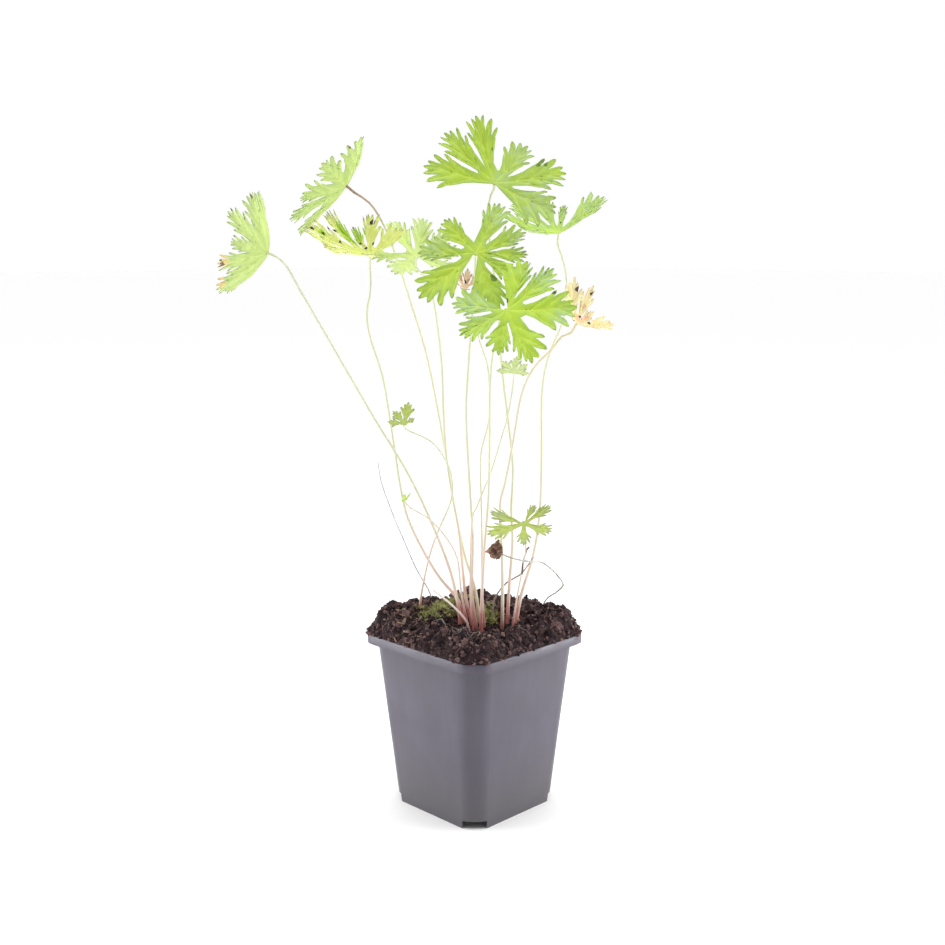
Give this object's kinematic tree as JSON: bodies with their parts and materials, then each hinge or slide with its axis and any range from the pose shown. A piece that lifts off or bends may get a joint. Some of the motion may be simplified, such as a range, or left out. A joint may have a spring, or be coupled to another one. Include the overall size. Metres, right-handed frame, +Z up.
{
  "type": "potted cranesbill",
  "caption": "Young cranesbill with deeply cut palmate leaves on long stalks, growing in a small square plastic nursery pot filled with peat soil.",
  "frame": {"origin": "on the surface that the pot stands on, under the middle of the whole plant's bounds; the pot's axis is 16.0 mm along +X and 10.3 mm along +Y from it", "axes": "+Z up along the pot's axis; X and Y square to the pot's sides, with the corner between the -Y side and the +X side towards the picture's camera"},
  "size_m": [0.1695, 0.207, 0.3665],
  "materials": {
    "pot_plastic": "matte, injection moulded",
    "peat_soil": "loose peat, damp and lumpy",
    "rootstock": "woody, scaly",
    "stalk_green": "soft, slightly hairy",
    "stalk_pink": "smooth, fleshy",
    "leaf_pale": "thin leaf, satin",
    "leaf_spotted": "thin leaf, ageing, satin",
    "leaf_green": "thin leaf, satin",
    "leaf_fresh": "thin leaf, satin",
    "leaf_yellowed": "dried leaf, matte",
    "leaf_withered": "dried leaf, matte",
    "leaf_straw": "dried leaf, matte",
    "dead_stem": "dry, matte",
    "dried_leaf": "dried, crumpled, matte"
  },
  "bodies": {
    "root": {"pot": "pot_plastic", "soil": "peat_soil", "crown_left": "rootstock", "crown_right": "rootstock", "stalk_far_left": "stalk_green", "blade_far_left": "leaf_pale", "stalk_upper_left": "stalk_green", "blade_upper_left": "leaf_pale", "stalk_spotted": "stalk_green", "blade_spotted": "leaf_spotted", "stalk_pale": "stalk_green", "blade_pale": "leaf_pale", "stalk_broad_upper": "stalk_green", "blade_broad_upper": "leaf_green", "stalk_broad_lower": "stalk_green", "blade_broad_lower": "leaf_fresh", "stalk_top": "stalk_green", "blade_top": "leaf_green", "stalk_right_back": "stalk_green", "blade_right_back": "leaf_green", "stalk_yellowed": "stalk_green", "blade_yellowed": "leaf_yellowed", "stalk_withered_small": "stalk_green", "blade_withered_small": "leaf_withered", "stalk_yellow_small": "stalk_green", "blade_yellow_small": "leaf_straw", "stalk_young_left": "stalk_green", "blade_young_left": "leaf_fresh", "stalk_bud_left": "stalk_green", "blade_bud_left": "leaf_fresh", "stalk_low": "stalk_green", "blade_low": "leaf_fresh", "stub_pink": "stalk_pink", "stem_dead_grey": "dead_stem", "stem_dry_bent": "dead_stem", "thread_dry": "dead_stem", "clump_dry": "dried_leaf"}
  },
  "joints": []
}
